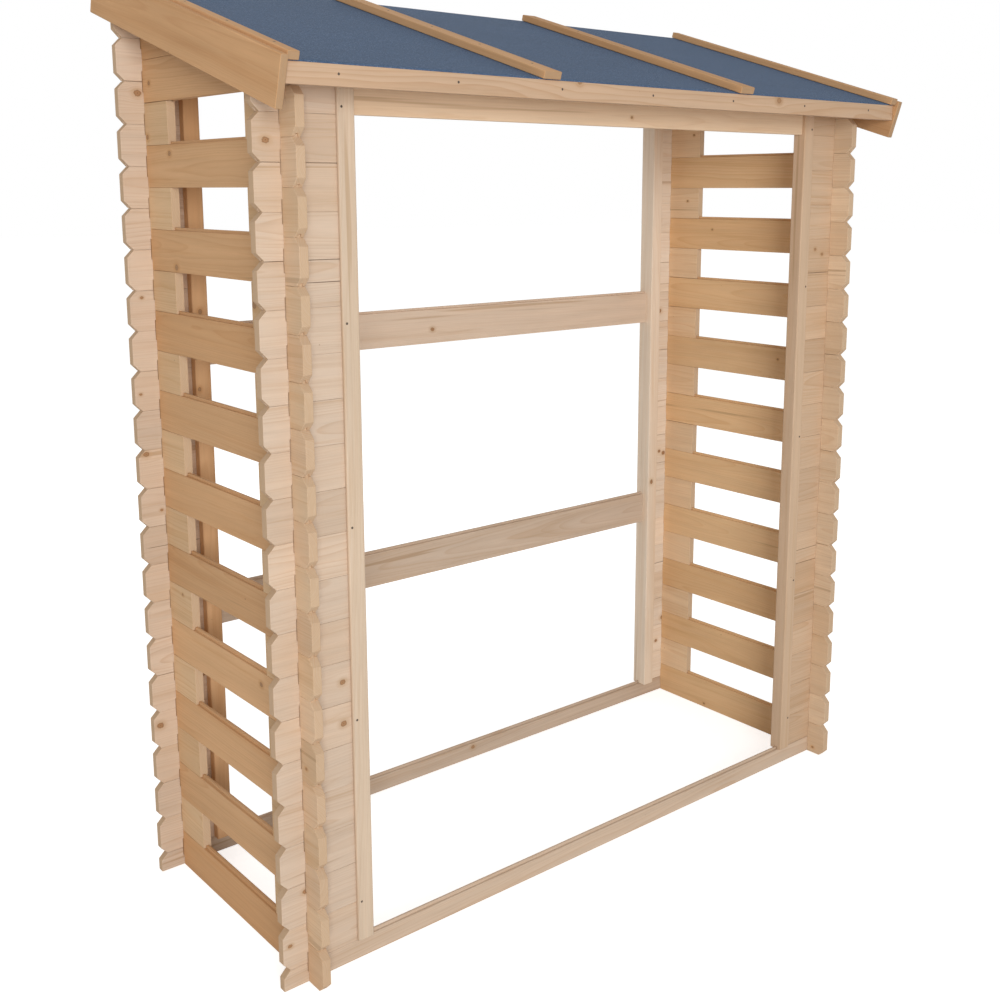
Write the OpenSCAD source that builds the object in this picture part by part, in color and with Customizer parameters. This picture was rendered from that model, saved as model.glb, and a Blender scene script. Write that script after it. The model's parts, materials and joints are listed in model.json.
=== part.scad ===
// Log store: an open-fronted, slatted timber shelter for stacked firewood.
// Boards cross and notch into each other at four corners, and a lean-to felt roof falls to the front.
// Units are millimetres. X runs along the front, Y runs to the rear and Z is up.
// The origin is on the ground, at the middle of the whole object's outline in plan.

/* [Walls] */
// Width over the outer faces of the two side walls
wall_w = 1684; // [1200:2:2400]
// Depth from the front face of the front boards to the rear face of the rear boards
wall_d = 610; // [450:2:1000]
// Height that one course of boards covers
course = 90; // [70:1:110]
// Thickness of every log board
board_t = 19; // [16:0.5:28]
// Length of a board's end past the outer face that it crosses
end_past = 57; // [40:1:90]
// Gap left between one course and the next
course_gap = 1; // [0.5:0.5:2]

/* [Tongues] */
// Height of the tongue on top of each board, which stands in a groove of the board above
tongue_h = 6; // [4:0.5:8]
// Thickness of the tongues
tongue_t = 6; // [4:0.5:8]

/* [Board ends] */
// Height of the bevel at each corner of a board's end
bevel_h = 16; // [10:1:25]
// Length of that bevel along the board
bevel_l = 16; // [6:1:20]

/* [Side walls] */
// Length that a spacer block runs into the store from the front or rear boards
block_in = 114; // [80:1:180]
// Least height left at the thin tip of a gable board
gable_tip = 12; // [10:1:20]

/* [Posts and rails] */
// Width of a grooved post
post_w = 38; // [32:1:60]
// Thickness of a post's cheek beside its groove; front posts have two alike
cheek_t = 8.5; // [6:0.5:15]
// Depth of the rear posts, which stand further into the store
rear_post_d = 50; // [40:1:70]
// Depth of the groove that takes the ends of the short boards
groove = 12; // [6:1:16]
// Distance from a side wall's outer face to the front opening
front_return = 156; // [110:1:240]
// Distance from a side wall's outer face to the rear opening
rear_return = 117; // [110:1:240]
// Clearance of each piece that is cut to fit between others
fit = 0.3; // [0.2:0.1:0.5]

/* [Roof] */
// Thickness of the roof boarding
deck_t = 18; // [15:1:28]
// Thickness of the roofing felt
felt_t = 3; // [2:0.5:5]
// Gap between the front ends of the side boards and the front fascia
front_gap = 52; // [2:1:120]
// How far the roof runs past the rear boards
rear_past = 42; // [20:1:120]
// Thickness of the front fascia
fascia_t = 16; // [12:1:25]
// Height of the front fascia
fascia_h = 38; // [35:1:70]
// Thickness of the bargeboards
barge_t = 15; // [12:1:25]
// Width of the bargeboards, square to the slope
barge_w = 94; // [80:1:120]
// How far the bargeboards drop below the underside of the roof boarding
barge_drop = 63; // [45:1:75]
// Length of the bargeboards past the front and the rear edge of the felt, along the slope
barge_past = 10; // [4:1:20]

/* [Roof battens] */
// Thickness of the battens on the felt
batten_t = 16; // [12:1:25]
// Width of the two battens within the roof
batten_w = 45; // [30:1:60]
// Width of the strips along the bargeboards
strip_w = 24; // [16:1:35]
// Length of the battens past those edges, along the slope
batten_past = 4; // [2:1:10]

/* [Hidden] */
// Courses of front boards above the half-height sill, and the further courses that the rear boards rise
FRONT_COURSES = 20;
RISE_COURSES = 2;
REAR_COURSES = FRONT_COURSES + RISE_COURSES;
SLATS = FRONT_COURSES / 2 + 1;
// Courses of the lower and the upper rear rail, counted from the sill
RAIL_ROWS = [6, 13];
// A length that is longer than any piece of the store
FAR = 6000;

half_w = wall_w / 2;
side_x = half_w - board_t;
row_h = course - course_gap;
// A notch leaves half of the board's height where it crosses another
notch = course / 4;
sill_h = course / 2;

// Front and rear log boards, measured from the front face of the front boards
rear_board_y = wall_d - board_t;
// The roof boarding clears the tongues of the top front and of the top rear boards
eave_h = sill_h + FRONT_COURSES * course + tongue_h;
pitch = atan(RISE_COURSES * course / rear_board_y);

// Front and rear edges of the felt, measured from the front face of the front boards
roof_front = -end_past - front_gap - fascia_t;
roof_rear = wall_d + rear_past;

// Places along the slope, measured from the eave line over the front face of the front boards
front_end = roof_front / cos(pitch);
rear_end = roof_rear / cos(pitch);
barge_front = front_end - barge_past;
barge_rear = rear_end + barge_past;
batten_front = front_end - batten_past;
batten_rear = rear_end + batten_past;
felt_top = deck_t + felt_t;

// The bargeboards stand against the board ends
barge_x = half_w + end_past + fit;
roof_half = barge_x - fit;
// The two battens part the roof in three equal bays
batten_x = roof_half / 3;

// The outline in plan runs from the bargeboards' top front corners to their lower rear corners
outline_front = barge_front * cos(pitch) - (barge_w - barge_drop) * sin(pitch);
outline_rear = barge_rear * cos(pitch) + barge_drop * sin(pitch);
y_front = -(outline_front + outline_rear) / 2;

front_post_d = board_t + 2 * cheek_t;
front_post_x = half_w - front_return;
rear_post_x = half_w - rear_return;

front_wood = [0.80, 0.68, 0.55];
side_wood = [0.72, 0.57, 0.41];
trim_wood = [0.78, 0.63, 0.47];
felt_grey = [0.34, 0.40, 0.48];

function slat_name(side, i) = str(side, "_slat_", i + 1);

// Outline of a board whose crossing end is at 0 and which runs towards +X, from height 0 up to h
module end_outline(length, h, both, low_bevel = true) {
    tail = both ? bevel_l : 0;
    rise = low_bevel ? bevel_h : 0;
    run = low_bevel ? bevel_l : 0;
    polygon([
        [run, 0],
        [both ? length - run : length, 0],
        [length, both ? rise : 0],
        [length, both ? h - bevel_h : h],
        [length - tail, h],
        [bevel_l, h],
        [0, h - bevel_h],
        [0, rise]
    ]);
}

// Gives a board along X a tongue on top, from first to last, and a groove underneath if it is grooved
module tongued(length, h, first, last, grooved) {
    middle = (board_t - tongue_t) / 2;
    difference() {
        union() {
            children();
            translate([first, middle, h - 1]) cube([last - first, tongue_t, tongue_h + 1]);
        }
        if (grooved)
            translate([-1, middle - fit, -1])
                cube([length + 2, tongue_t + 2 * fit, 1 + tongue_h - course_gap + fit]);
    }
}

// Board along X, standing between y = 0 and y = board_t
module board_x(length, h, both, low_bevel = true, grooved = true) {
    tongued(length, h, bevel_l, both ? length - bevel_l : length, grooved)
        translate([0, board_t, 0]) rotate([90, 0, 0])
            linear_extrude(board_t) end_outline(length, h, both, low_bevel);
}

// Board along Y, standing between x = 0 and x = board_t
module board_y(length, h, both, grooved = true) {
    rotate([0, 0, 90]) translate([0, -board_t, 0]) board_x(length, h, both, grooved = grooved);
}

// Everything below the underside of the roof boarding, in the walls' own frame
module under_roof() {
    rotate([pitch, 0, 0]) translate([-FAR / 2, -FAR / 2, -FAR]) cube([FAR, FAR, FAR]);
}

// The walls' own frame has y = 0 at the front face of the front boards
module in_walls() {
    translate([0, y_front, 0]) children();
}

// A frame on the slope: y runs up the underside of the roof boarding and z is square to it
module on_slope() {
    in_walls() translate([0, 0, eave_h]) rotate([pitch, 0, 0]) children();
}

module cut_to_roof() {
    intersection() {
        children();
        translate([0, 0, eave_h]) under_roof();
    }
}

// Cut-outs where a side board crosses the front or the rear boards
module side_notches(z, y) {
    translate([-fit, y - fit / 2, z - fit]) cube([board_t + 2 * fit, board_t + fit, notch + fit]);
    translate([-fit, y - fit / 2, z + course - notch])
        cube([board_t + 2 * fit, board_t + fit, notch + tongue_h]);
}

// One row of a side wall's boards; its outer face is at x = 0 and it is board_t thick towards +X
module side_row(k) {
    z = k * course;
    difference() {
        cut_to_roof() translate([0, -end_past, z]) board_y(wall_d + 2 * end_past, row_h, true, k > 0);
        side_notches(z, 0);
        side_notches(z, rear_board_y);
    }
}

// Short boards that fill a gap row at the front and at the rear corner
module spacer_row(k) {
    z = k * course;
    length = end_past + board_t + block_in;
    for (rear = [0, 1]) difference() {
        translate([0, rear * wall_d, z]) mirror([0, rear, 0]) translate([0, -end_past, 0])
            board_y(length, row_h, false);
        side_notches(z, rear * rear_board_y);
    }
}

// Gable boards start where the roof leaves them at least gable_tip high
module gable_row(k) {
    start = (k * course + gable_tip - eave_h) / tan(pitch);
    intersection() {
        side_row(k);
        translate([-board_t, start, 0]) cube([3 * board_t, FAR, FAR]);
    }
}

// Places a side wall: side is -1 for the left one and 1 for the right one
module at_side(side) {
    in_walls() translate([side < 0 ? -half_w : side_x, 0, 0]) children();
}

module slat(side, i) {
    color(side_wood) at_side(side) side_row(2 * i);
}

module spacer_blocks(side) {
    color(side_wood) at_side(side) for (i = [0:SLATS - 2]) spacer_row(2 * i + 1);
}

module gable_boards(side) {
    color(side_wood) at_side(side) for (k = [FRONT_COURSES + 1:FRONT_COURSES + RISE_COURSES]) gable_row(k);
}

// Cut-out in a front or rear board where it crosses the side wall on the left
module cross_notch(z, h) {
    translate([-half_w - fit / 2, -fit, z]) cube([board_t + fit, board_t + 2 * fit, h]);
}

// Short boards between the left corner and a post whose inner face is at -post_x
module corner_boards(post_x, courses) {
    length = half_w + end_past - post_x - post_w + groove - fit;
    for (j = [0:courses - 1]) {
        z = sill_h + j * course;
        difference() {
            translate([-half_w - end_past, 0, z]) board_x(length, row_h, false);
            cross_notch(z - fit, notch + fit);
            cross_notch(z + course - notch, notch + tongue_h);
        }
    }
}

module front_corner_boards() {
    color(front_wood) in_walls() corner_boards(front_post_x, FRONT_COURSES);
}

module rear_corner_boards() {
    color(front_wood) in_walls() translate([0, rear_board_y, 0]) corner_boards(rear_post_x, REAR_COURSES);
}

// Half-height bottom board over the whole width
module sill() {
    difference() {
        translate([-half_w - end_past, 0, 0])
            board_x(wall_w + 2 * end_past, sill_h - course_gap, true, false, false);
        for (side = [0, 1]) mirror([side, 0, 0]) cross_notch(sill_h - notch, notch + tongue_h);
    }
}

// Left post over the sill's tongue, with a groove for the short boards; its rear cheek is cheek_t thick
module post(post_x, y, depth) {
    foot = sill_h - course_gap;
    cut_to_roof() difference() {
        translate([-post_x - post_w, y + board_t + cheek_t - depth, foot]) cube([post_w, depth, FAR / 2]);
        translate([-post_x - post_w - fit, y - fit, 0]) cube([groove + fit, board_t + 2 * fit, FAR]);
        translate([-post_x - post_w - fit, y + (board_t - tongue_t) / 2 - fit, 0])
            cube([post_w + 2 * fit, tongue_t + 2 * fit, foot + tongue_h + fit]);
    }
}

module front_post() {
    color(trim_wood) in_walls() post(front_post_x, 0, front_post_d);
}

module rear_post() {
    color(trim_wood) in_walls() post(rear_post_x, rear_board_y, rear_post_d);
}

// Board between two posts, in the course counted from the sill
module rail(post_x, j, y) {
    length = 2 * (post_x - fit);
    translate([-post_x + fit, y, sill_h + j * course])
        tongued(length, row_h, 0, length, true) cube([length, board_t, row_h]);
}

module front_lintel() {
    color(trim_wood) in_walls() rail(front_post_x, FRONT_COURSES - 1, 0);
}

module rear_rails() {
    color(trim_wood) in_walls() for (j = concat(RAIL_ROWS, [REAR_COURSES - 1]))
        rail(rear_post_x, j, rear_board_y);
}

// Layer of the roof between two upright fronts, from height low to height high above the underside
module roof_layer(front, rear, low, high) {
    span = rear - front;
    in_walls() intersection() {
        translate([0, 0, eave_h]) rotate([pitch, 0, 0])
            translate([-roof_half, -FAR / 2, low]) cube([2 * roof_half, FAR, high - low]);
        translate([-FAR / 2, front, 0]) cube([FAR, span, FAR]);
    }
}

module roof_boarding() {
    color(side_wood) roof_layer(roof_front + fascia_t, roof_rear, 0, deck_t);
}

module roof_felt() {
    color(felt_grey) roof_layer(roof_front, roof_rear, deck_t, felt_top);
}

// Upright board under the felt, closing the front edge of the roof boarding
module front_fascia() {
    top = eave_h + roof_front * tan(pitch) + deck_t / cos(pitch);
    color(front_wood) in_walls() intersection() {
        translate([-roof_half, roof_front, top - fascia_h]) cube([2 * roof_half, fascia_t, 2 * fascia_h]);
        translate([0, 0, eave_h]) rotate([pitch, 0, 0])
            translate([-FAR / 2, -FAR / 2, deck_t - FAR]) cube([FAR, FAR, FAR]);
    }
}

module bargeboard() {
    color(side_wood) on_slope() translate([-barge_x - barge_t, barge_front, -barge_drop])
        cube([barge_t, barge_rear - barge_front, barge_w]);
}

// Two battens within the roof and a strip along each bargeboard
module roof_battens() {
    length = batten_rear - batten_front;
    color(trim_wood) on_slope() for (side = [0, 1]) mirror([side, 0, 0]) {
        translate([batten_x - batten_w / 2, batten_front, felt_top]) cube([batten_w, length, batten_t]);
        translate([roof_half - strip_w, batten_front, felt_top]) cube([strip_w, length, batten_t]);
    }
}

for (i = [0:SLATS - 1]) {
    slat(-1, i);
    slat(1, i);
}
spacer_blocks(-1);  // left_spacer_blocks
spacer_blocks(1);  // right_spacer_blocks
gable_boards(-1);  // left_gable_boards
gable_boards(1);  // right_gable_boards
front_corner_boards();  // front_left_boards
mirror([1, 0, 0]) front_corner_boards();  // front_right_boards
rear_corner_boards();  // rear_left_boards
mirror([1, 0, 0]) rear_corner_boards();  // rear_right_boards
color(front_wood) in_walls() sill();  // front_sill
color(front_wood) in_walls() translate([0, rear_board_y, 0]) sill();  // rear_sill
front_post();  // front_left_post
mirror([1, 0, 0]) front_post();  // front_right_post
rear_post();  // rear_left_post
mirror([1, 0, 0]) rear_post();  // rear_right_post
front_lintel();
rear_rails();
roof_boarding();
roof_felt();
front_fascia();
bargeboard();  // left_bargeboard
mirror([1, 0, 0]) bargeboard();  // right_bargeboard
roof_battens();
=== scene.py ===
"""Looks of the log store: planed spruce boards, a felt roof, nail heads and a plain studio.

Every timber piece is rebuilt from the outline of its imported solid. Its flat faces are joined, its arrises
are eased, and each board gets coordinates along its own grain, so that growth rings, knots and fibres run
through its faces, edges and ends as they do in one piece of wood. Lengths are in metres.
"""

import json
import math
import random

import bmesh
import bpy
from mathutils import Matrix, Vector, noise


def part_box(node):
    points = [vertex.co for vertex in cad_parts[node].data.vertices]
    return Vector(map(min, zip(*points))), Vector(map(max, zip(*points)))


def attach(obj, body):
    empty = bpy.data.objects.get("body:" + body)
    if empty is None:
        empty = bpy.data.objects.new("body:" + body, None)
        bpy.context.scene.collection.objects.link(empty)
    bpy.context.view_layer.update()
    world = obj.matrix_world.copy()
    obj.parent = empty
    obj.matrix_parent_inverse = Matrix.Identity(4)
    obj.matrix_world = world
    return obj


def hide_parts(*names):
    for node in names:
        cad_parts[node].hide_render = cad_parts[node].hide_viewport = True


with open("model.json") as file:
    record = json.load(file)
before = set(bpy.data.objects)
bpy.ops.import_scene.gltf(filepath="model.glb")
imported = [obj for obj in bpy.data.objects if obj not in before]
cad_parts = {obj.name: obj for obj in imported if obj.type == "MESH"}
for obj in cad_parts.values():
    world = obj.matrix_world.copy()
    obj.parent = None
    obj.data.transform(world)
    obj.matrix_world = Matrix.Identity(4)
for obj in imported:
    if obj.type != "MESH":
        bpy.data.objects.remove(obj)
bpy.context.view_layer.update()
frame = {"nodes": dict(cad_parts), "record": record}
slot_of = {part["node"]: part["material_slot"] for part in frame["record"]["subparts"]}

MM = 0.001
X = Vector((1, 0, 0))
Y = Vector((0, 1, 0))
Z = Vector((0, 0, 1))


# ---------------------------------------------------------------- solids of the frame


def joined_faces(node):
    """The node's solids in one bmesh, with each flat face as one polygon."""
    bm = bmesh.new()
    bm.from_mesh(frame["nodes"][node].data)
    bmesh.ops.remove_doubles(bm, verts=bm.verts, dist=0.01 * MM)
    bmesh.ops.dissolve_limit(bm, angle_limit=math.radians(0.5), verts=bm.verts, edges=bm.edges)
    return bm


def box_of(verts):
    """Lowest and highest corner of some vertices."""
    low = Vector([min(v.co[i] for v in verts) for i in range(3)])
    high = Vector([max(v.co[i] for v in verts) for i in range(3)])
    return low, high


def boards_in(bm):
    """The vertices of each separate board, in order of height, then X, then Y."""
    bm.verts.index_update()
    seen = set()
    boards = []
    for start in bm.verts:
        if start.index in seen:
            continue
        seen.add(start.index)
        board = [start]
        for vert in board:
            for edge in vert.link_edges:
                other = edge.other_vert(vert)
                if other.index not in seen:
                    seen.add(other.index)
                    board.append(other)
        boards.append(board)

    def place(board):
        low, high = box_of(board)
        middle = (low + high) / 2
        return [round(middle.z, 3), round(middle.x, 3), round(middle.y, 3)]

    return sorted(boards, key=place)


felt_faces = joined_faces("roof_felt")
felt_top_face = max(felt_faces.faces, key=lambda face: face.calc_area() * (face.normal.z > 0))
OFF_SLOPE = felt_top_face.normal.copy()
UP_SLOPE = OFF_SLOPE.cross(X)
FELT_TOP_POINT = felt_top_face.calc_center_median()
felt_faces.free()

# ---------------------------------------------------------------- knots

KNOTS_A_BOARD = 2
# Chance of each knot, which grows with the board's half length up to twice as much
KNOT_CHANCE = 0.26
KNOT_CHANCE_START = 0.55
KNOT_CHANCE_MOST = 2.0
# How far from the middle a knot lies at most, as shares of the half length and the half width
KNOT_REACH = (0.92, 0.8)
KNOT_RADII = (2.5 * MM, 6.5 * MM)
NO_KNOT = Vector((99, 99, 0))

# Pieces whose short boards may be split along their grain, from one end or from the middle
SPLIT_PIECES = ("front_left_boards", "front_right_boards", "rear_left_boards", "rear_right_boards")
SPLIT_CHANCE = 0.12
SPLIT_STARTS = (0.0, 0.5)
SPLIT_HEIGHTS = (0.3, 0.7)
SPLIT_HALF_WIDTHS = (0.5 * MM, 0.9 * MM)
NO_SPLIT = (99, 0)


def split_of(node, number):
    """A board's split, or None: shares of its length where it starts and of its width, and its half-width.

    It runs from its start to the end of the board.
    """
    rng = random.Random(f"split {node} {number}")
    if node not in SPLIT_PIECES or rng.random() > SPLIT_CHANCE:
        return None
    return rng.choice(SPLIT_STARTS), rng.uniform(*SPLIT_HEIGHTS), rng.uniform(*SPLIT_HALF_WIDTHS)


def knots_of(low, high, along, across, rng):
    """Two knots of a board, as (distance along, distance across, radius) from its middle, or None."""
    half_length = abs((high - low).dot(along)) / 2
    half_width = abs((high - low).dot(across)) / 2
    reach_along, reach_across = KNOT_REACH
    found = []
    for _ in range(KNOTS_A_BOARD):
        shows = rng.random() < KNOT_CHANCE * min(KNOT_CHANCE_MOST, KNOT_CHANCE_START + half_length)
        u = rng.uniform(-reach_along, reach_along) * half_length
        v = rng.uniform(-reach_across, reach_across) * half_width
        radius = rng.uniform(*KNOT_RADII)
        if shows:
            found.append((u, v, radius))
    return found + [None] * (KNOTS_A_BOARD - len(found))


# ---------------------------------------------------------------- timber

# A board's place in its log: far along the grain at random, with the pith off to one side of the board
PITH_ALONG = 20.0
PITH_ASIDE = 0.05
PITH_DEPTH = (0.025, 0.085)
RING_TILT = math.radians(1.2)
TONE_SPREAD = 0.5
END_FACE = 0.6

front_low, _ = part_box("front_left_boards")
_, rear_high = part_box("rear_left_boards")
WALL_MIDDLE = (front_low.y + rear_high.y) / 2
WALL_HALF = (rear_high.y - front_low.y) / 2


def write_grain(node, bm, along, across):
    """Gives every board coordinates along its grain, its knots, split and tone, and its end-grain faces."""
    through = along.cross(across)
    grain = bm.verts.layers.float_vector.new("grain")
    knot_layers = [bm.verts.layers.float_vector.new(name) for name in ("knot_a", "knot_b")]
    tone = bm.verts.layers.float_vector.new("tone")
    split = bm.verts.layers.float_vector.new("split")
    end = bm.faces.layers.float.new("end")
    for number, board in enumerate(boards_in(bm)):
        rng = random.Random(f"{node} {number}")
        low, high = box_of(board)
        middle = (low + high) / 2
        side = rng.choice((-1, 1))
        pith_along = rng.uniform(-PITH_ALONG, PITH_ALONG)
        pith_aside = rng.uniform(-PITH_ASIDE, PITH_ASIDE)
        pith = Vector((pith_along, pith_aside, side * rng.uniform(*PITH_DEPTH)))
        tilt = Vector((0, rng.uniform(-RING_TILT, RING_TILT), rng.uniform(-RING_TILT, RING_TILT)))
        tones = Vector((rng.gauss(0, TONE_SPREAD), rng.gauss(0, TONE_SPREAD), rng.random()))
        knots = knots_of(low, high, along, across, rng)
        length = abs((high - low).dot(along))
        width = abs((high - low).dot(across))
        board_split = split_of(node, number)
        for vert in board:
            place = vert.co - middle
            local = Vector((place.dot(along), place.dot(across), place.dot(through)))
            vert[grain] = local + pith + tilt * local.x
            vert[tone] = tones
            from_split = NO_SPLIT
            if board_split:
                start, share, half = board_split
                off = local.y - (share - 0.5) * width
                from_split = (off / half, (local.x - start / 2 * length) / ((1 - start) / 2 * length))
            vert[split] = Vector((*from_split, vert.co.y - WALL_MIDDLE if along == Y else 0))
            for layer, knot in zip(knot_layers, knots):
                if knot is None:
                    vert[layer] = NO_KNOT
                else:
                    u, v, radius = knot
                    vert[layer] = Vector(((local.x - u) / radius, (local.y - v) / radius, radius))
    for face in bm.faces:
        face[end] = 1.0 if abs(face.normal.dot(along)) > END_FACE else 0.0


SHARP_EDGE = 0.1


def ease_arrises(bm, widths, segments):
    """Rounds the sharp edges of each board; each board's width is drawn from the given range."""
    for face in bm.faces:
        face.smooth = False
    for number, board in enumerate(boards_in(bm)):
        rng = random.Random(number)
        edges = {edge for vert in board for edge in vert.link_edges}
        sharp = sorted((e for e in edges if e.calc_face_angle(0) > SHARP_EDGE), key=lambda e: e.index)
        made = bmesh.ops.bevel(
            bm,
            geom=sharp,
            offset=rng.uniform(*widths),
            offset_type="OFFSET",
            segments=segments,
            profile=0.5,
            affect="EDGES",
            clamp_overlap=True,
        )
        for face in made["faces"]:
            face.smooth = True


def add_piece(name, bm, material):
    """Links a finished bmesh as a piece that rides on the frame's only body."""
    bm.normal_update()
    mesh = bpy.data.meshes.new(name)
    bm.to_mesh(mesh)
    bm.free()
    mesh.materials.append(material)
    piece = bpy.data.objects.new(name, mesh)
    bpy.context.scene.collection.objects.link(piece)
    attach(piece, "root")
    return piece


# How far most joints between boards close, and the chance that one stays open
JOINT_CLOSE = (0.55 * MM, 0.92 * MM)
OPEN_CHANCE = 0.12
# Boards that start lower than this stand on the ground and stay
ON_GROUND = 10 * MM
AT_BOTTOM = 0.2 * MM


def close_joints(node, bm):
    """Lowers the bottom edges of each board by its own amount, so that most joints are hairlines."""
    for number, board in enumerate(boards_in(bm)):
        rng = random.Random(f"joint {node} {number}")
        low, _ = box_of(board)
        stays_open = rng.random() < OPEN_CHANCE
        down = 0.0 if stays_open or low.z < ON_GROUND else rng.uniform(*JOINT_CLOSE)
        for vert in board:
            if vert.co.z < low.z + AT_BOTTOM:
                vert.co.z -= down


def timber(node, along, across, widths, segments, material, shape=None):
    """Rebuilds a node's boards with eased arrises and grain, and shows them in its place."""
    bm = joined_faces(node)
    if shape:
        bm = shape(bm)
    if slot_of[node] in ("front_boards", "side_boards") and "bargeboard" not in node:
        close_joints(node, bm)
    bm.edges.index_update()
    ease_arrises(bm, widths, segments)
    write_grain(node, bm, along, across)
    piece = add_piece(node + "_timber", bm, material)
    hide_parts(node)
    return piece


NOTCH_EASE = 1.1 * MM
AT_NOTCH = 0.3 * MM
_, side_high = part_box("right_slat_2")


def wider_notches(bm):
    """Eases the outer wall of each notch in a front or rear board.

    A slit shows there beside the side boards.
    """
    for vert in bm.verts:
        if abs(abs(vert.co.x) - side_high.x) < AT_NOTCH:
            vert.co.x += math.copysign(NOTCH_EASE, vert.co.x)
    return bm


ROOF_BOARDS = 18
ROOF_JOINT = 1.0 * MM


def cut_into_boards(bm):
    """Cuts the roof boarding into boards that run down the slope, with a joint between each two."""
    low, high = box_of(bm.verts)
    width = (high.x - low.x) / ROOF_BOARDS
    whole = bpy.data.meshes.new("whole_roof")
    bm.to_mesh(whole)
    bm.free()
    boards = bmesh.new()
    for number in range(ROOF_BOARDS):
        board = bmesh.new()
        board.from_mesh(whole)
        left = low.x + number * width + ROOF_JOINT / 2
        right = left + width - ROOF_JOINT
        for x, away in ((left, -X), (right, X)):
            everything = board.verts[:] + board.edges[:] + board.faces[:]
            cut = bmesh.ops.bisect_plane(
                board, geom=everything, plane_co=X * x, plane_no=away, clear_outer=True, dist=0.01 * MM
            )
            rim = [e for e in cut["geom_cut"] if isinstance(e, bmesh.types.BMEdge)]
            bmesh.ops.edgenet_fill(board, edges=rim)
        bmesh.ops.recalc_face_normals(board, faces=board.faces)
        one = bpy.data.meshes.new("one_board")
        board.to_mesh(one)
        board.free()
        boards.from_mesh(one)
        bpy.data.meshes.remove(one)
    bpy.data.meshes.remove(whole)
    return boards


# ---------------------------------------------------------------- materials


class Graph:
    """Short calls that build one material's node tree."""

    def __init__(self, name):
        self.material = bpy.data.materials.new(name)
        self.material.use_nodes = True
        self.tree = self.material.node_tree
        self.tree.nodes.clear()

    def node(self, kind, **settings):
        made = self.tree.nodes.new(kind)
        for key, value in settings.items():
            setattr(made, key, value)
        return made

    def put(self, socket, value):
        if isinstance(value, bpy.types.NodeSocket):
            self.tree.links.new(value, socket)
        else:
            socket.default_value = value

    def math(self, operation, *values, clamp=False):
        made = self.node("ShaderNodeMath", operation=operation, use_clamp=clamp)
        for socket, value in zip(made.inputs, values):
            self.put(socket, value)
        return made.outputs[0]

    def swing(self, value, amount):
        """A value from 0 to 1 as a swing about 0, amount wide."""
        return self.math("MULTIPLY", self.math("SUBTRACT", value, 0.5), amount)

    def vector(self, operation, *values):
        made = self.node("ShaderNodeVectorMath", operation=operation)
        for socket, value in zip(made.inputs, values):
            self.put(socket, value)
        return made.outputs[0]

    def scaled(self, vector, amount):
        made = self.node("ShaderNodeVectorMath", operation="SCALE")
        self.put(made.inputs[0], vector)
        self.put(made.inputs["Scale"], amount)
        return made.outputs[0]

    def attribute(self, name, output="Vector"):
        return self.node("ShaderNodeAttribute", attribute_name=name).outputs[output]

    def split(self, vector):
        made = self.node("ShaderNodeSeparateXYZ")
        self.put(made.inputs[0], vector)
        return made.outputs[:]

    def join(self, x, y, z):
        made = self.node("ShaderNodeCombineXYZ")
        for socket, value in zip(made.inputs, (x, y, z)):
            self.put(socket, value)
        return made.outputs[0]

    def noise(self, vector, scale, detail=2.0, roughness=0.5):
        made = self.node("ShaderNodeTexNoise")
        self.put(made.inputs["Vector"], vector)
        self.put(made.inputs["Scale"], scale)
        self.put(made.inputs["Detail"], detail)
        self.put(made.inputs["Roughness"], roughness)
        return made.outputs["Fac"]

    def ramp(self, factor, stops):
        made = self.node("ShaderNodeValToRGB")
        elements = made.color_ramp.elements
        while len(elements) < len(stops):
            elements.new(0.5)
        for element, (position, colour) in zip(elements, stops):
            element.position = position
            element.color = (*colour, 1) if isinstance(colour, tuple) else (colour, colour, colour, 1)
        self.put(made.inputs[0], factor)
        return made.outputs[0]

    def mix(self, factor, a, b, blend="MIX"):
        made = self.node("ShaderNodeMix", data_type="RGBA", blend_type=blend)
        self.put(made.inputs[0], factor)
        for socket, value in zip((made.inputs[6], made.inputs[7]), (a, b)):
            self.put(socket, (*value, 1) if isinstance(value, tuple) else value)
        return made.outputs[2]

    def step(self, value, start, stop, first=0.0, last=1.0):
        """Smooth step of a value from first at start to last at stop."""
        made = self.node("ShaderNodeMapRange", interpolation_type="SMOOTHSTEP")
        for socket, number in zip(made.inputs, (value, start, stop, first, last)):
            self.put(socket, number)
        return made.outputs[0]

    def bump(self, height, strength, distance):
        made = self.node("ShaderNodeBump")
        self.put(made.inputs["Strength"], strength)
        self.put(made.inputs["Distance"], distance)
        self.put(made.inputs["Height"], height)
        return made.outputs["Normal"]

    def finish(self, shader_settings):
        """Adds a Principled shader with the given sockets and the output, and returns the material."""
        shader = self.node("ShaderNodeBsdfPrincipled")
        for key, value in shader_settings.items():
            self.put(shader.inputs[key], (*value, 1) if isinstance(value, tuple) else value)
        output = self.node("ShaderNodeOutputMaterial")
        self.tree.links.new(shader.outputs[0], output.inputs[0])
        return self.material


RING_SPACING = 3.6 * MM
END_WOOD = (0.590, 0.425, 0.285)
STREAK_BROWN = (0.400, 0.245, 0.125)
PIN_BROWN = (0.235, 0.125, 0.062)
SPLIT_BROWN = (0.115, 0.062, 0.032)
# Shares of the early wood's colour that give the late wood's, and that of streaks and stains
LATE_SHARES = (0.85, 0.75, 0.65)
DEEP_SHARES = (0.78, 0.65, 0.50)
# Share of late wood across one growth ring
RING_STOPS = [(0.0, 0.0), (0.4, 0.12), (0.72, 0.42), (0.93, 1.0), (1.0, 0.0)]
# Colours of a knot from its middle to its rim
KNOT_STOPS = [
    (0.0, (0.22, 0.11, 0.05)),
    (0.2, (0.41, 0.235, 0.125)),
    (0.6, (0.38, 0.21, 0.105)),
    (0.8, (0.235, 0.12, 0.055)),
]

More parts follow.
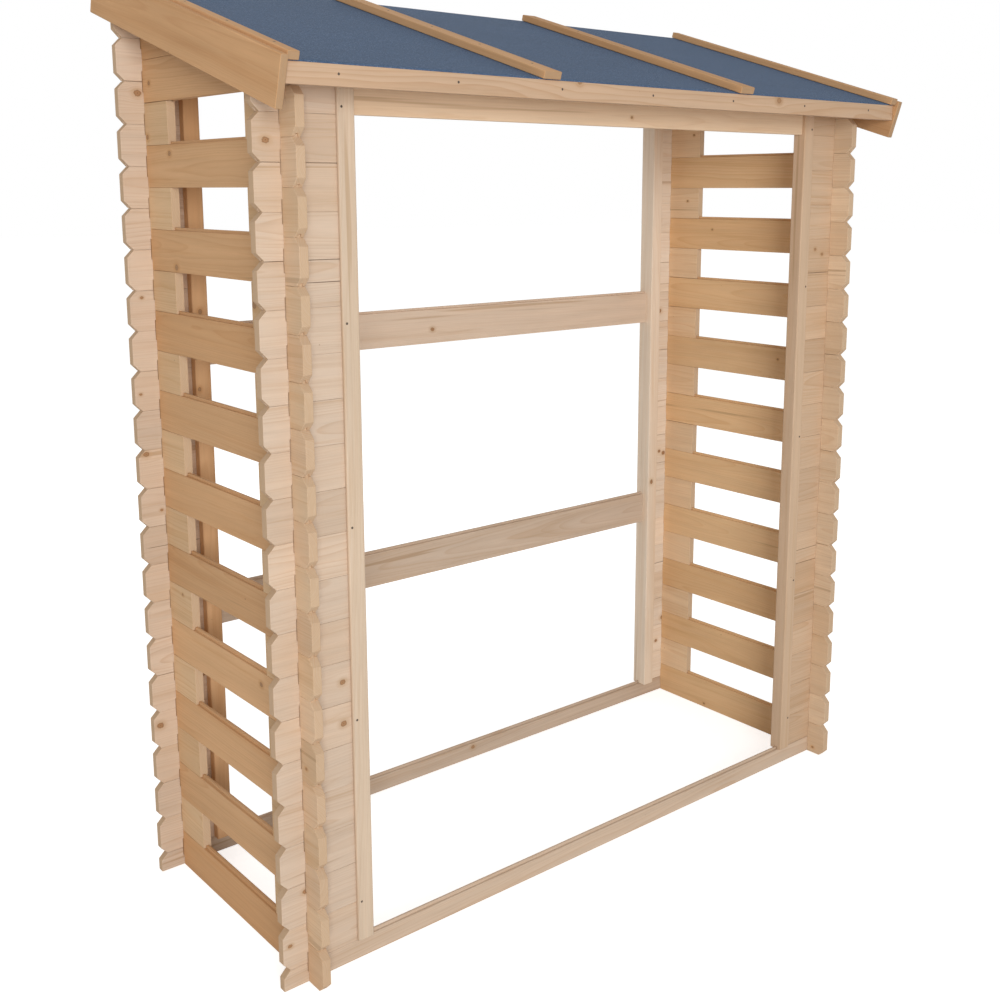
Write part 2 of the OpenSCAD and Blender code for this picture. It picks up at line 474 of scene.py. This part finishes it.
# How fine each pattern is along the grain and, twice, across it
PITH_WANDER = (1.3, 7.0, 7.0)
CLOUDS = (4.0, 14.0, 14.0)
BROWN_STREAKS = (0.7, 34.0, 34.0)
PALE_STREAKS = (1.8, 46.0, 46.0)
STREAKS = (2.6, 70.0, 70.0)
FINE_LINES = (7.0, 300.0, 300.0)
FIBRES = (22.0, 900.0, 900.0)
# The same of the bands, along the grain and out from the pith
BANDS = (0.5, 60.0)

# How far a pith wanders, and where in the noise its second direction is read
PITH_SWING = 0.024
OTHER_PLACE = (9.0, 4.0, 2.0)
PIN_SCALE = 4.6
CORNER_FADE = 12 * MM


def grained(g, grain, fineness, detail=2.0, roughness=0.5, scale=1.0):
    """A pattern drawn out along the grain."""
    return g.noise(g.vector("MULTIPLY", grain, fineness), scale, detail, roughness)


def parted_by_knots(g, grain, v):
    """The place across the board, bent so that grain parts round its knots, and the nearest knot's distance.

    That distance is in radii of the knot.
    """
    nearest = 99.0
    for layer in ("knot_a", "knot_b"):
        ku, kv, radius = g.split(g.attribute(layer))
        square = g.math("ADD", g.math("POWER", g.math("MULTIPLY", ku, 0.8), 2.0), g.math("POWER", kv, 2.0))
        near = g.math("EXPONENT", g.math("MULTIPLY", square, -0.14))
        push = g.math("MULTIPLY", g.math("MULTIPLY", kv, radius), near)
        v = g.math("SUBTRACT", v, g.math("MULTIPLY", push, 0.9))
        nearest = g.math("MINIMUM", nearest, g.math("SQRT", square))
    return v, g.math("ADD", nearest, g.swing(g.noise(grain, 330.0, 2.0), 0.7))


def growth_rings(g, grain, v, w):
    """The distance from a pith that wanders a little along the board, and the share of late wood there."""
    slow = g.vector("MULTIPLY", grain, PITH_WANDER)
    other = g.vector("ADD", slow, OTHER_PLACE)
    ring_v = g.math("ADD", v, g.swing(g.noise(slow, 1.0, 3.0), PITH_SWING))
    ring_w = g.math("ADD", w, g.swing(g.noise(other, 1.0, 3.0), PITH_SWING))
    radius = g.math("SQRT", g.math("ADD", g.math("POWER", ring_v, 2.0), g.math("POWER", ring_w, 2.0)))
    uneven = g.math("MULTIPLY", g.noise(g.join(0.0, radius, 0.0), 110.0, 2.0), 0.008)
    turn = g.math("DIVIDE", g.math("ADD", radius, uneven), RING_SPACING)
    return radius, g.ramp(g.math("FRACT", turn), RING_STOPS)


def with_streaks(g, colour, deep, grain, u, radius, streak):
    """Adds bands of slower growth, streaks, fine lines and a few brown streaks to a colour."""
    along, out = BANDS
    band = g.noise(g.join(g.math("MULTIPLY", u, along), g.math("MULTIPLY", radius, out), 0.0), 1.0, 3.0, 0.6)
    colour = g.mix(g.step(band, 0.50, 0.74, 0.0, 0.40), colour, deep)
    colour = g.mix(g.step(streak, 0.54, 0.78, 0.0, 0.42), colour, deep)
    colour = g.mix(g.step(grained(g, grain, FINE_LINES), 0.60, 0.80, 0.0, 0.30), colour, deep)
    brown = grained(g, grain, BROWN_STREAKS, roughness=0.7)
    return g.mix(g.step(brown, 0.66, 0.71, 0.0, 0.5), colour, STREAK_BROWN)


def lightness(g, grain, tone_value, cloud, fibre):
    """A factor about 1 from the board's own tone and from clouds, pale streaks and fibres over it."""
    pale_streak = grained(g, grain, PALE_STREAKS, roughness=0.6, scale=1.3)
    change = g.math("MULTIPLY", tone_value, 0.075)
    for pattern, amount in ((cloud, 0.14), (pale_streak, 0.20), (fibre, 0.12)):
        change = g.math("ADD", change, g.swing(pattern, amount))
    return g.math("ADD", 1.0, change)


def pin_knots(g, u, v, end):
    """The share of pin knots, which no end grain has."""
    pins = g.node("ShaderNodeTexVoronoi", voronoi_dimensions="2D", feature="F1")
    g.put(pins.inputs["Vector"], g.join(u, v, 0.0))
    g.put(pins.inputs["Scale"], PIN_SCALE)
    size = g.math("MULTIPLY", g.math("SUBTRACT", g.split(pins.outputs["Color"])[0], 0.55), 0.020)
    pin = g.step(g.math("SUBTRACT", pins.outputs["Distance"], size), -0.004, 0.003, 1.0, 0.0)
    return g.math("MULTIPLY", pin, g.math("SUBTRACT", 1.0, end))


def with_knots(g, colour, deep, nearest):
    """Adds the larger knots, with rim and stained wood round them, and also returns the share of knot."""
    colour = g.mix(g.step(nearest, 1.0, 3.0, 0.6, 0.0), colour, deep)
    inner = g.math("MULTIPLY", g.math("SINE", g.math("MULTIPLY", nearest, 19.0)), 0.03)
    knot = g.ramp(g.math("MULTIPLY", g.math("ADD", nearest, inner), 0.8), KNOT_STOPS)
    inside = g.step(nearest, 0.85, 1.2, 1.0, 0.0)
    return g.mix(inside, colour, knot), inside


def with_split(g, colour, across, along, cloud, streak):
    """Adds a split, which wanders a little and thins out here and there."""
    offset = g.math("ADD", across, g.swing(cloud, 3.0))
    dark = g.step(g.math("ABSOLUTE", offset), 0.7, 1.5, 1.0, 0.0)
    dark = g.math("MULTIPLY", dark, g.step(g.math("ABSOLUTE", along), 0.7, 1.0, 1.0, 0.0))
    dark = g.math("MULTIPLY", dark, g.step(streak, 0.35, 0.5, 0.4, 1.0))
    return g.mix(g.math("MULTIPLY", dark, 0.85), colour, SPLIT_BROWN)


def spruce(name, early, end_wood=END_WOOD, painted_light_past_corners=None):
    """Planed spruce. The colour of its early wood sets those of its late wood and its streaks.

    Side boards get painted light where they stand past the corners, where the walls' shade no longer falls:
    their colour there is multiplied by the given factor.
    """
    late, deep = (
        tuple(part * share for part, share in zip(early, shares)) for shares in (LATE_SHARES, DEEP_SHARES)
    )
    g = Graph(name)
    grain = g.attribute("grain")
    u, v, w = g.split(grain)
    tone_value, tone_hue, tone_rings = g.split(g.attribute("tone"))
    split_across, split_along, out = g.split(g.attribute("split"))
    end = g.attribute("end", "Fac")
    v, nearest = parted_by_knots(g, grain, v)
    radius, ring = growth_rings(g, grain, v, w)
    streak = grained(g, grain, STREAKS, detail=3.0, roughness=0.65)
    cloud = grained(g, grain, CLOUDS)
    fibre = grained(g, grain, FIBRES)

    strength = g.math("ADD", 0.30, g.math("MULTIPLY", tone_rings, 0.42))
    colour = g.mix(g.math("MULTIPLY", ring, strength), early, late)
    colour = with_streaks(g, colour, deep, grain, u, radius, streak)
    warm = g.math("ADD", 0.08, g.math("MULTIPLY", tone_hue, 0.20), clamp=True)
    colour = g.mix(warm, colour, deep)
    colour = g.scaled(colour, lightness(g, grain, tone_value, cloud, fibre))
    # Painted light: side boards are made lighter past the corners, standing in for the walls' shade ending
    # there
    if painted_light_past_corners:
        past = g.step(g.math("ABSOLUTE", out), WALL_HALF - CORNER_FADE, WALL_HALF)
        colour = g.mix(past, colour, g.vector("MULTIPLY", colour, painted_light_past_corners))
    end_colour = g.mix(g.math("MULTIPLY", ring, 0.4), end_wood, deep)
    colour = g.mix(g.math("MULTIPLY", end, 0.8), colour, end_colour)
    pin = pin_knots(g, u, v, end)
    colour = g.mix(g.math("MULTIPLY", pin, 0.7), colour, PIN_BROWN)
    colour, inside = with_knots(g, colour, deep, nearest)
    colour = with_split(g, colour, split_across, split_along, cloud, streak)

    height = g.math("ADD", g.math("MULTIPLY", ring, 0.5), g.math("MULTIPLY", fibre, 0.45))
    height = g.math("SUBTRACT", height, g.math("MULTIPLY", g.math("ADD", pin, inside), 0.35))
    rough = g.math("SUBTRACT", 0.74, g.math("MULTIPLY", ring, 0.08))
    rough = g.math("SUBTRACT", rough, g.math("MULTIPLY", inside, 0.12))
    return g.finish(
        {
            "Base Color": colour,
            "Roughness": rough,
            "Specular IOR Level": 0.18,
            "Normal": g.bump(height, 0.5, 0.25 * MM),
        }
    )


# Colours of the felt's granules, from the darkest to the few palest
FELT_STOPS = [
    (0.0, (0.039, 0.069, 0.131)),
    (0.45, (0.064, 0.113, 0.201)),
    (0.85, (0.092, 0.149, 0.250)),
    (1.0, (0.17, 0.235, 0.34)),
]
FELT_GRANULES = 620.0


def roofing_felt():
    """Mineral-faced bitumen felt: blue-grey slate granules on a dark sheet."""
    g = Graph("slate_felt")
    place = g.node("ShaderNodeTexCoord").outputs["Object"]
    grains = g.node("ShaderNodeTexVoronoi", feature="F1")
    g.put(grains.inputs["Vector"], place)
    g.put(grains.inputs["Scale"], FELT_GRANULES)
    fleck = g.split(grains.outputs["Color"])[0]
    cloud = g.noise(g.vector("MULTIPLY", place, (3.0, 6.0, 6.0)), 1.0, 3.0)
    rolled = g.noise(g.vector("MULTIPLY", place, (2.0, 60.0, 60.0)), 1.0, 2.0)
    colour = g.ramp(fleck, FELT_STOPS)
    shade = g.math("ADD", 0.86, g.math("MULTIPLY", cloud, 0.22))
    shade = g.math("ADD", shade, g.swing(rolled, 0.10))
    colour = g.scaled(colour, shade)
    height = g.math("SUBTRACT", g.math("MULTIPLY", fleck, 0.6), grains.outputs["Distance"])
    return g.finish(
        {
            "Base Color": colour,
            "Roughness": g.math("ADD", 0.72, g.math("MULTIPLY", fleck, 0.2)),
            "Specular IOR Level": 0.35,
            "Normal": g.bump(height, 0.6, 0.5 * MM),
        }
    )


def nail_steel():
    """Dull steel of the nail heads, with darker spots."""
    g = Graph("nail_steel")
    spots = g.noise(g.node("ShaderNodeTexCoord").outputs["Object"], 900.0, 3.0)
    return g.finish(
        {
            "Base Color": g.ramp(spots, [(0.3, (0.050, 0.034, 0.024)), (0.7, (0.150, 0.110, 0.080))]),
            "Metallic": 0.35,
            "Roughness": g.math("ADD", 0.45, g.math("MULTIPLY", spots, 0.3)),
            "Normal": g.bump(spots, 0.3, 0.1 * MM),
        }
    )


# Lit and shaded copies of one spruce: these colours differ partly as painted light and shade. Lighter copies
# stand on parts in shade, such as the lintel under the eave, the rear boards and the right wall; a darker
# copy stands on the fascia in the key light; a browner copy on the left wall stands in for the shade on its
# side.
pale = spruce("pale_spruce", (0.690, 0.550, 0.430), (0.565, 0.385, 0.235))
cream = spruce("cream_spruce", (0.735, 0.615, 0.495))
white = spruce("white_spruce", (0.850, 0.745, 0.630))
tan = spruce("tan_spruce", (0.640, 0.465, 0.320))
fawn = spruce("fawn_spruce", (0.575, 0.400, 0.270))
# The factors past the corners on these side woods are painted light, not bleaching
honey = spruce("honey_spruce", (0.680, 0.420, 0.225), painted_light_past_corners=(1.05, 1.25, 1.60))
sand = spruce("sand_spruce", (0.700, 0.485, 0.290), painted_light_past_corners=(1.02, 1.10, 1.25))
gold = spruce("gold_spruce", (0.810, 0.550, 0.310), painted_light_past_corners=(0.92, 1.04, 1.30))
light = spruce("light_spruce", (0.825, 0.605, 0.395), painted_light_past_corners=(0.90, 0.95, 1.03))
cream_gold = spruce("cream_gold_spruce", (0.770, 0.575, 0.395))
amber = spruce("amber_spruce", (0.640, 0.380, 0.195), (0.400, 0.270, 0.165))
felt_material = roofing_felt()
steel = nail_steel()

# ---------------------------------------------------------------- pieces

SLATS = 11
BOARD_EASE = (0.5 * MM, 1.1 * MM)
TRIM_EASE = (1.5 * MM, 2.0 * MM)
ROOF_EASE = (2.2 * MM, 2.8 * MM)
POST_EASE = (2.4 * MM, 2.8 * MM)

# Spruce colours of each side: its wall, spacer blocks, front boards and post, and rear boards and post. The
# two sides differ partly as painted light and shade: the right side's lighter wall, spacer blocks and rear
# boards and post stand in for the shade they lie in.
SIDE_LIT_AND_SHADED_SPRUCE = {
    "left": (honey, sand, pale, cream, pale, honey),
    "right": (gold, light, tan, tan, white, white),
}

for side, (wall, blocks, front, front_post, rear, rear_post) in SIDE_LIT_AND_SHADED_SPRUCE.items():
    slats = [f"{side}_slat_{number}" for number in range(1, SLATS + 1)]
    for node in [*slats, f"{side}_gable_boards"]:
        timber(node, Y, Z, BOARD_EASE, 2, wall)
    timber(f"{side}_spacer_blocks", Y, Z, BOARD_EASE, 2, blocks)
    timber(f"front_{side}_boards", X, Z, BOARD_EASE, 2, front, wider_notches)
    timber(f"rear_{side}_boards", X, Z, BOARD_EASE, 2, rear, wider_notches)
    timber(f"front_{side}_post", Z, X, POST_EASE, 3, front_post)
    timber(f"rear_{side}_post", Z, X, POST_EASE, 3, rear_post)
    timber(f"{side}_bargeboard", UP_SLOPE, OFF_SLOPE, TRIM_EASE, 2, amber)
for node in ("front_sill", "rear_sill"):
    timber(node, X, Z, TRIM_EASE, 2, pale, wider_notches)
# Painted light and shade: the lintel under the eave takes a lighter copy of the spruce, the fascia in the
# key light a darker one
for node, wood in (("front_lintel", cream_gold), ("rear_rails", pale), ("front_fascia", fawn)):
    timber(node, X, Z, BOARD_EASE, 2, wood)
timber("roof_battens", UP_SLOPE, X, TRIM_EASE, 2, amber)
timber("roof_boarding", UP_SLOPE, X, ROOF_EASE, 1, honey, cut_into_boards)

FELT_STEPS = (150, 70)
FELT_RIPPLE = 0.9 * MM
FELT_LIP = 1.2 * MM
# Ripples a metre along X and Y, of the broad and the fine ripples
BROAD_RIPPLES = (3.1, 5.3)
FINE_RIPPLES = (11, 13)
BROAD_SHARE = 0.7


def felt_sheet():
    """One sheet of felt with slight ripples in its top, rounded at its edges and flat underneath."""
    low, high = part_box("roof_felt")
    columns, rows = FELT_STEPS
    rise = UP_SLOPE.z / UP_SLOPE.y
    bm = bmesh.new()

    def top_z(y):
        return FELT_TOP_POINT.z + (y - FELT_TOP_POINT.y) * rise

    thick = top_z(low.y) - low.z
    top, bottom = [], []
    for j in range(rows + 1):
        y = low.y + (high.y - low.y) * j / rows
        for i in range(columns + 1):
            x = low.x + (high.x - low.x) * i / columns
            broad = noise.noise(Vector((x * BROAD_RIPPLES[0], y * BROAD_RIPPLES[1], 0))) * 0.5 + 0.5
            fine = noise.noise(Vector((x * FINE_RIPPLES[0], y * FINE_RIPPLES[1], 7))) * 0.5 + 0.5
            dip = FELT_RIPPLE * (BROAD_SHARE * broad + (1 - BROAD_SHARE) * fine)
            if i in (0, columns) or j in (0, rows):
                dip = FELT_LIP
            top.append(bm.verts.new((x, y, top_z(y) - dip)))
            bottom.append(bm.verts.new((x, y, top_z(y) - thick)))
    wide = columns + 1
    for j in range(rows):
        for i in range(columns):
            a = j * wide + i
            corners = (a, a + 1, a + 1 + wide, a + wide)
            bm.faces.new([top[c] for c in corners]).smooth = True
            bm.faces.new([bottom[c] for c in reversed(corners)])
    rim = list(range(wide))
    rim += [j * wide + columns for j in range(1, rows + 1)]
    rim += [rows * wide + i for i in range(columns - 1, -1, -1)]
    rim += [j * wide for j in range(rows - 1, 0, -1)]
    for a, b in zip(rim, rim[1:] + rim[:1]):
        bm.faces.new((top[b], top[a], bottom[a], bottom[b]))
    piece = add_piece("roof_felt_sheet", bm, felt_material)
    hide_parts("roof_felt")


felt_sheet()

# ---------------------------------------------------------------- nails

NAIL_RADIUS = 2.6 * MM
NAIL_SIDES = 12
NAIL_PROUD = 0.35 * MM
# Rings of a nail head from below: share of its radius, and height over the surface
NAIL_RINGS = ((1.0, -0.3 * MM), (1.0, 0.1 * MM), (0.82, NAIL_PROUD * 0.8), (0.4, NAIL_PROUD))
# From the outer edge of a post
NAIL_INSET = 9 * MM


def nails(name, points, out):
    """Low domed nail heads at points on a surface that faces out."""
    bm = bmesh.new()
    side = out.orthogonal().normalized()
    up = out.cross(side)
    for point in points:
        rings = []
        for share, height in NAIL_RINGS:
            ring = []
            for k in range(NAIL_SIDES):
                angle = math.tau * k / NAIL_SIDES
                flat = side * math.cos(angle) + up * math.sin(angle)
                ring.append(bm.verts.new(point + flat * NAIL_RADIUS * share + out * height))
            rings.append(ring)
        for inner, outer in zip(rings[1:], rings):
            for k in range(NAIL_SIDES):
                face = bm.faces.new((outer[k - 1], outer[k], inner[k], inner[k - 1]))
                face.smooth = True
        bm.faces.new(rings[-1]).smooth = True
        bm.faces.new(reversed(rings[0]))
    bmesh.ops.recalc_face_normals(bm, faces=bm.faces)
    return add_piece(name, bm, steel)


# Shares of the length of the fascia and of the posts, evenly spaced
FASCIA_NAILS = [0.06 + 0.88 * k / 6 for k in range(7)]
POST_NAILS = [0.05 + 0.90 * k / 4 for k in range(5)]
# Distances up the slope from the front of the roof
BATTEN_NAILS = [0.06 + 0.18 * k for k in range(5)]

fascia_low, fascia_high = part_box("front_fascia")
fascia_z = (fascia_low.z + fascia_high.z) / 2
fascia_span = fascia_high.x - fascia_low.x
nails(
    "front_fascia_nails",
    [Vector((fascia_low.x + share * fascia_span, fascia_low.y, fascia_z)) for share in FASCIA_NAILS],
    -Y,
)
for end_name, out in (("front", -Y), ("rear", Y)):
    points = []
    for side in ("left", "right"):
        low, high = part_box(f"{end_name}_{side}_post")
        outer = low.x if side == "left" else high.x
        x = outer - math.copysign(NAIL_INSET, outer)
        y = low.y if out.y < 0 else high.y
        points += [Vector((x, y, low.z + share * (high.z - low.z))) for share in POST_NAILS]
    nails(f"{end_name}_post_nails", points, out)


def up_the_slope(x, distance, height):
    """A point at a distance up the slope from the front of the roof, and a height above its felt."""
    low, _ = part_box("roof_felt")
    y = low.y + distance * UP_SLOPE.y
    z = FELT_TOP_POINT.z + (y - FELT_TOP_POINT.y) * UP_SLOPE.z / UP_SLOPE.y
    return Vector((x, y, z)) + OFF_SLOPE * height


batten_bm = joined_faces("roof_battens")
batten_points = []
for board in boards_in(batten_bm):
    low, high = box_of(board)
    x = (low.x + high.x) / 2
    top = max((v.co - FELT_TOP_POINT).dot(OFF_SLOPE) for v in board)
    batten_points += [up_the_slope(x, d, top) for d in BATTEN_NAILS]
batten_bm.free()
nails("batten_nails", batten_points, OFF_SLOPE)

# ---------------------------------------------------------------- studio


FLOOR_HALF = 40
FLOOR_GREY = (0.8, 0.8, 0.8, 1)
FLOOR_GLOW = 0.70


def studio_floor():
    """Pale floor that reads as white to the camera and keeps the shadow of the store."""
    bm = bmesh.new()
    bmesh.ops.create_grid(bm, x_segments=8, y_segments=8, size=FLOOR_HALF)
    mesh = bpy.data.meshes.new("studio_floor")
    bm.to_mesh(mesh)
    bm.free()
    floor = bpy.data.objects.new("studio_floor", mesh)
    floor.location.z = -0.5 * MM
    bpy.context.scene.collection.objects.link(floor)
    g = Graph("studio_floor")
    path = g.node("ShaderNodeLightPath")
    seen = g.math("MAXIMUM", path.outputs["Is Camera Ray"], path.outputs["Is Glossy Ray"])
    seen = g.math("MAXIMUM", seen, path.outputs["Is Transmission Ray"])
    glow = g.node("ShaderNodeEmission")
    g.put(glow.inputs["Strength"], g.math("MULTIPLY", seen, FLOOR_GLOW))
    matt = g.node("ShaderNodeBsdfDiffuse")
    g.put(matt.inputs["Color"], FLOOR_GREY)
    both = g.node("ShaderNodeAddShader")
    g.put(both.inputs[0], matt.outputs[0])
    g.put(both.inputs[1], glow.outputs[0])
    output = g.node("ShaderNodeOutputMaterial")
    g.put(output.inputs[0], both.outputs[0])
    mesh.materials.append(g.material)


WORLD_LIGHT = 0.46
WORLD_TINT = (1, 0.985, 0.960, 1)


def studio_world():
    """Even soft light on the store, white where the camera or a reflection looks past it."""
    world = bpy.data.worlds.new("studio")
    world.use_nodes = True
    bpy.context.scene.world = world
    tree = world.node_tree
    tree.nodes.clear()
    path = tree.nodes.new("ShaderNodeLightPath")
    first = tree.nodes.new("ShaderNodeMath")
    first.operation = "MAXIMUM"
    second = tree.nodes.new("ShaderNodeMath")
    second.operation = "MAXIMUM"
    strength = tree.nodes.new("ShaderNodeMapRange")
    strength.inputs["To Min"].default_value = WORLD_LIGHT
    background = tree.nodes.new("ShaderNodeBackground")
    tint = tree.nodes.new("ShaderNodeMix")
    tint.data_type = "RGBA"
    tint.inputs[6].default_value = WORLD_TINT
    tint.inputs[7].default_value = (1, 1, 1, 1)
    output = tree.nodes.new("ShaderNodeOutputWorld")
    tree.links.new(path.outputs["Is Camera Ray"], first.inputs[0])
    tree.links.new(path.outputs["Is Glossy Ray"], first.inputs[1])
    tree.links.new(first.outputs[0], second.inputs[0])
    tree.links.new(path.outputs["Is Transmission Ray"], second.inputs[1])
    tree.links.new(second.outputs[0], strength.inputs["Value"])
    tree.links.new(second.outputs[0], tint.inputs[0])
    tree.links.new(tint.outputs[2], background.inputs["Color"])
    tree.links.new(strength.outputs[0], background.inputs["Strength"])
    tree.links.new(background.outputs[0], output.inputs[0])


def softbox(name, place, aim, size, power):
    """A square area light that faces a point."""
    data = bpy.data.lights.new(name, "AREA")
    data.shape = "SQUARE"
    data.size = size
    data.energy = power
    lamp = bpy.data.objects.new(name, data)
    lamp.location = place
    lamp.rotation_euler = (Vector(aim) - Vector(place)).to_track_quat("-Z", "Y").to_euler()
    bpy.context.scene.collection.objects.link(lamp)


CAMERA_PLACE = (-1.981, -2.312, 1.616)
CAMERA_YAW = math.radians(40.0)
CAMERA_PITCH = math.radians(10.4)
CAMERA_LENS = 44.3
SENSOR_WIDTH = 36
CAMERA_SHIFT = (-0.022, -0.085)


def camera():
    """The camera, which looks at the store from its front left."""
    data = bpy.data.cameras.new("camera")
    data.lens = CAMERA_LENS
    data.sensor_width = SENSOR_WIDTH
    data.shift_x, data.shift_y = CAMERA_SHIFT
    eye = bpy.data.objects.new("camera", data)
    eye.location = CAMERA_PLACE
    eye.rotation_euler = (math.radians(90) - CAMERA_PITCH, 0, -CAMERA_YAW)
    bpy.context.scene.collection.objects.link(eye)
    bpy.context.scene.camera = eye


studio_floor()
studio_world()
softbox("key", place=(-4.14, -7.17, 2.35), aim=(0, 0, 0.9), size=3.2, power=370)
softbox("back", place=(1.8, 4.2, 2.6), aim=(0, 0, 1.0), size=2.4, power=40)
camera()
bpy.context.scene.view_settings.view_transform = "Standard"
